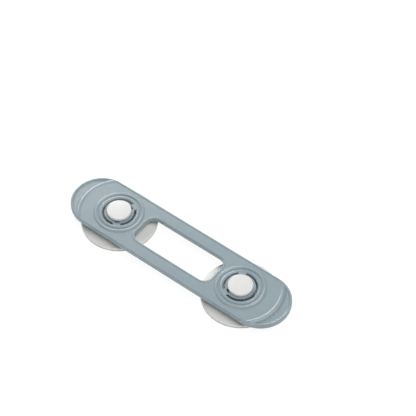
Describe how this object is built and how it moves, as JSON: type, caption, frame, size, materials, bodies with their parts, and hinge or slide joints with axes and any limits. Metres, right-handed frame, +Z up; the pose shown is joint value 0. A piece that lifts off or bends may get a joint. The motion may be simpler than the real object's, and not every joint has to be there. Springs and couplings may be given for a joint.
{
  "type": "child safety strap latch",
  "caption": "Flexible strap with a long window, snapped at each end under a mushroom-headed button on an adhesive round base, to keep a door or drawer shut.",
  "frame": {"origin": "on the surface that the latch is stuck to, midway between the two button axes", "axes": "+X along the strap, +Y across it, +Z up, away from the surface"},
  "size_m": [0.15, 0.045, 0.0106],
  "materials": {
    "strap": "satin moulded thermoplastic elastomer, grey-blue",
    "button": "smooth moulded acetal, white",
    "base": "satin moulded polypropylene, white",
    "foam_pad": "closed-cell foam tape, off-white",
    "release_liner": "coated release paper, off-white"
  },
  "bodies": {
    "left_anchor": {"left_base": "base", "left_button": "button", "left_foam_pad": "foam_pad", "left_release_liner": "release_liner"},
    "strap": {"strap": "strap"},
    "right_anchor": {"right_base": "base", "right_button": "button", "right_foam_pad": "foam_pad", "right_release_liner": "release_liner"}
  },
  "joints": [
    {"name": "left_swivel", "type": "hinge", "parent": "left_anchor", "child": "strap", "pos_m": [-0.0437, 0, 0.0087], "axis": [0, 0, 1], "continuous": true},
    {"name": "right_swivel", "type": "hinge", "parent": "strap", "child": "right_anchor", "pos_m": [0.0437, 0, 0.0087], "axis": [0, 0, 1], "continuous": true}
  ]
}
